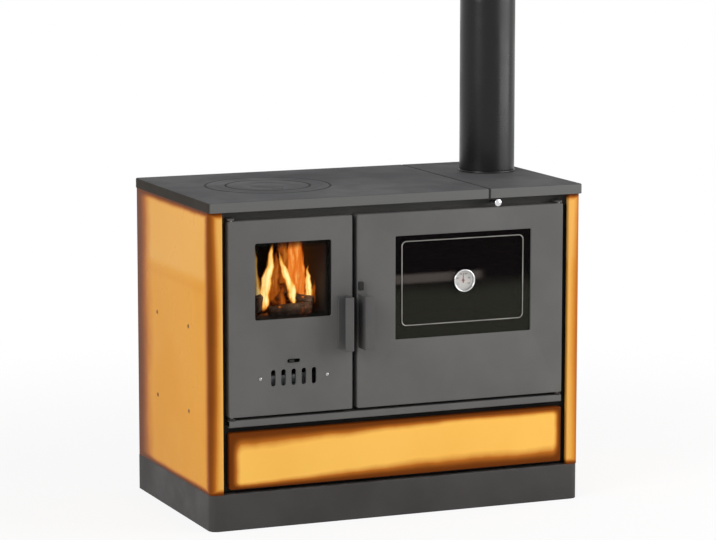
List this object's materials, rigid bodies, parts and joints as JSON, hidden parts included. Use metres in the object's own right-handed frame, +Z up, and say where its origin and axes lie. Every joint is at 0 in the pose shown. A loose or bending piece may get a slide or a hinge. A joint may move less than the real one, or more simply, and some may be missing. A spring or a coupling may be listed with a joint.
{
  "type": "wood cookstove",
  "caption": "Solid-fuel cookstove with windowed firebox door, glazed oven door, lift-out hob rings, flue damper, air slider and storage drawer.",
  "frame": {"origin": "on the floor, under the centre of the cooking top's footprint, on the plinth's flat underside", "axes": "+X to the stove's right seen from the front, +Y to its back, +Z up"},
  "size_m": [1.05, 0.626, 1.3556],
  "materials": {
    "enamel": "glossy vitreous enamel, honey orange shaded to brown at the edges",
    "front_paint": "matt metallic grey stove paint",
    "handle_paint": "satin grey stove paint",
    "plinth_paint": "satin charcoal paint",
    "black_paint": "matt black heat paint",
    "flue_paint": "matt charcoal heat paint",
    "hob_iron": "ground cast iron, blacked",
    "inner_iron": "rough cast",
    "galvanised": "galvanised sheet",
    "steel": "plain turned steel",
    "chrome": "bright chrome",
    "bright_trim": "bright narrow bead",
    "fire_glass": "clear ceramic glass",
    "oven_glass": "dark tinted oven glass",
    "lens_glass": "clear glass",
    "seal_rope": "woven glass-fibre rope",
    "firebrick": "fired chamotte",
    "oven_enamel": "dark speckled enamel",
    "dial_face": "matt white",
    "needle_paint": "matt red"
  },
  "bodies": {
    "stove": {"plinth": "plinth_paint", "plinth_floor": "plinth_paint", "left_side_panel": "enamel", "right_side_panel": "enamel", "back_panel": "galvanised", "rear_flue_cover": "galvanised", "front_frame": "black_paint", "mid_rail": "front_paint", "heat_shield": "galvanised", "cooking_plate": "hob_iron", "flue_plate": "hob_iron", "flue_collar": "flue_paint", "flue_pipe": "flue_paint", "flue_baffle": "black_paint", "firebox_hinge_pin_upper": "steel", "firebox_hinge_pin_lower": "steel", "oven_hinge_pin_upper": "steel", "oven_hinge_pin_lower": "steel", "firebox_shell": "black_paint", "firebrick_left": "firebrick", "firebrick_right": "firebrick", "firebrick_back": "firebrick", "grate": "inner_iron", "ash_pan": "galvanised", "ash_pan_grip": "galvanised", "oven_box": "oven_enamel", "oven_rack": "chrome", "baking_tray": "oven_enamel", "smoke_casing": "black_paint", "drawer_runner_left": "galvanised", "drawer_runner_right": "galvanised"},
    "firebox_door": {"firebox_door": "front_paint", "firebox_door_liner": "black_paint", "firebox_glass": "fire_glass", "firebox_seal": "seal_rope", "slider_screw_left": "steel", "slider_screw_right": "steel", "firebox_handle": "handle_paint", "firebox_latch": "steel"},
    "air_slider": {"air_slider": "black_paint"},
    "oven_door": {"oven_door": "front_paint", "oven_door_liner": "black_paint", "oven_glass": "oven_glass", "oven_glass_bead": "bright_trim", "oven_seal": "seal_rope", "oven_handle": "handle_paint", "oven_catch_block": "black_paint", "oven_latch": "steel", "thermometer_case": "chrome", "thermometer_dial": "dial_face", "thermometer_lens": "lens_glass"},
    "thermometer_needle": {"thermometer_needle": "needle_paint"},
    "drawer": {"drawer_front": "enamel", "drawer_box": "galvanised"},
    "damper": {"damper_plate": "inner_iron", "damper_rod": "steel", "damper_knob": "chrome"},
    "hob_ring": {"hob_ring": "hob_iron"},
    "hob_lid": {"hob_lid": "hob_iron"}
  },
  "joints": [
    {"name": "firebox_door_hinge", "type": "hinge", "parent": "stove", "child": "firebox_door", "pos_m": [-0.4615, -0.275, 0.547], "axis": [0, 0, -1], "range_deg": [0, 110]},
    {"name": "air_slide", "type": "slide", "parent": "firebox_door", "child": "air_slider", "axis": [1, 0, 0], "range_m": [0, 0.014]},
    {"name": "oven_door_hinge", "type": "hinge", "parent": "stove", "child": "oven_door", "pos_m": [0.4615, -0.275, 0.547], "axis": [0, 0, 1], "range_deg": [0, 110]},
    {"name": "needle_turn", "type": "hinge", "parent": "oven_door", "child": "thermometer_needle", "pos_m": [0.1825, -0.282, 0.612], "axis": [0, 1, 0], "range_deg": [-120, 120]},
    {"name": "drawer_slide", "type": "slide", "parent": "stove", "child": "drawer", "axis": [0, -1, 0], "range_m": [0, 0.38]},
    {"name": "damper_slide", "type": "slide", "parent": "stove", "child": "damper", "axis": [0, -1, 0], "range_m": [0, 0.115]},
    {"name": "hob_ring_lift", "type": "slide", "parent": "stove", "child": "hob_ring", "axis": [0, 0, 1], "range_m": [0, 0.08]},
    {"name": "hob_lid_lift", "type": "slide", "parent": "hob_ring", "child": "hob_lid", "axis": [0, 0, 1], "range_m": [0, 0.08]}
  ]
}
